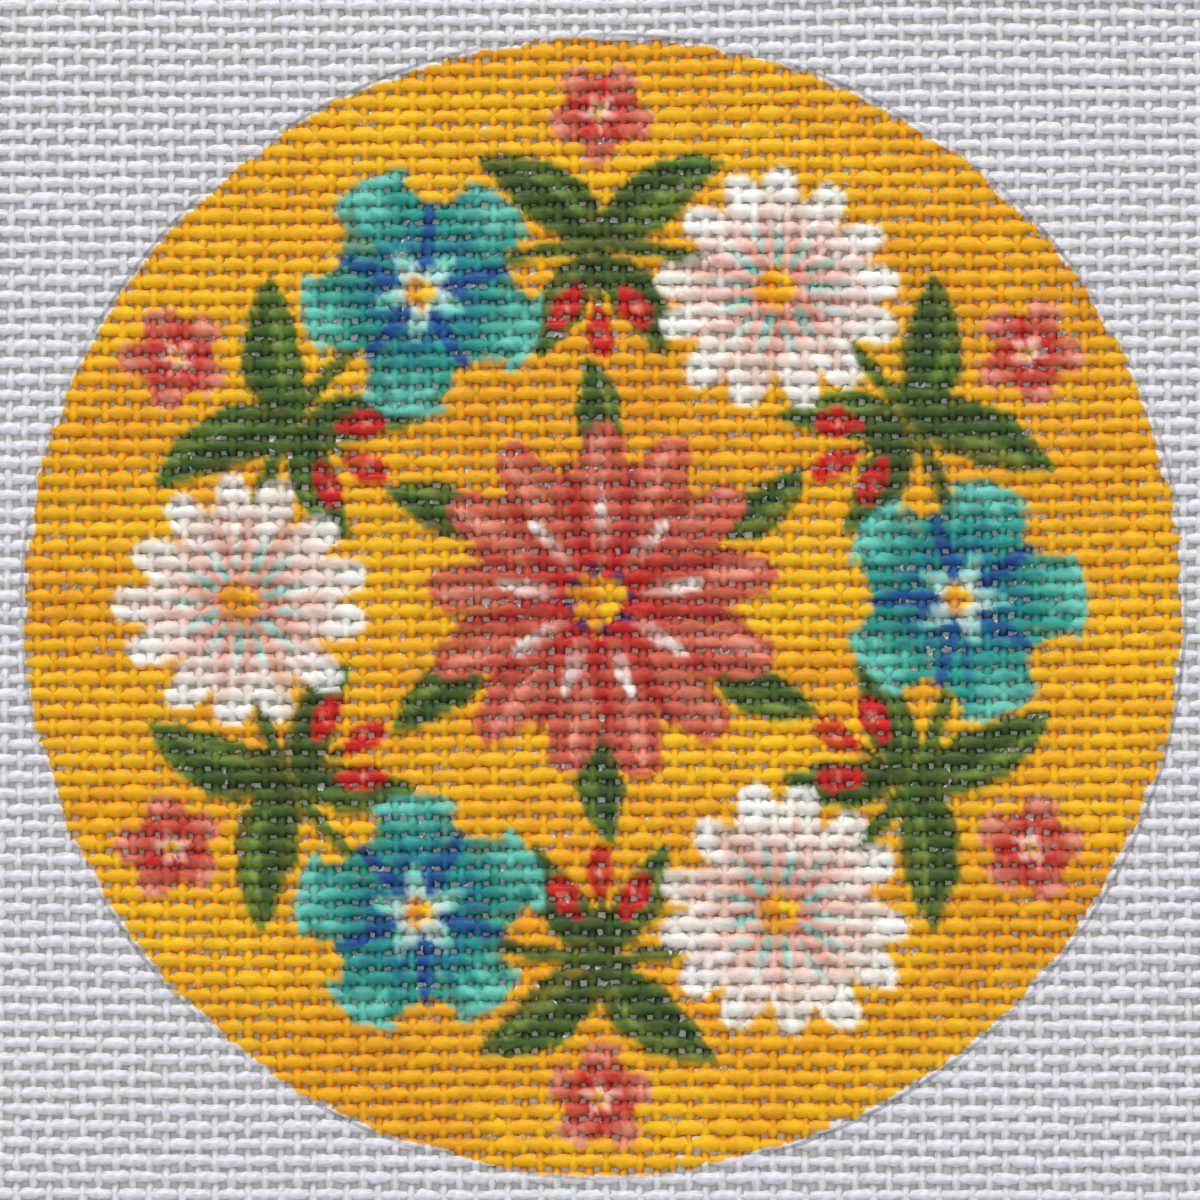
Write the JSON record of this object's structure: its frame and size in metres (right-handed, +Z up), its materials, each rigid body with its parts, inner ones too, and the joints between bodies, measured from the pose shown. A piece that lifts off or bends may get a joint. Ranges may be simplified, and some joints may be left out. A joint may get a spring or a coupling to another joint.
{
  "type": "painted needlepoint canvas panel",
  "caption": "Flat square of plain-woven mono needlepoint canvas with a hand-painted floral round at its middle and a bare margin for mounting.",
  "frame": {"origin": "middle of the panel on its underside, on the surface that it lies on", "axes": "+X along the wefts, to the right of the painted picture; +Y along the warps, to the top of the picture; +Z up out of the painted face"},
  "size_m": [0.1524, 0.1522, 0.001],
  "materials": {
    "canvas": "matt sized white cotton, painted over a round at its middle"
  },
  "bodies": {
    "root": {"canvas": "canvas"}
  },
  "joints": []
}
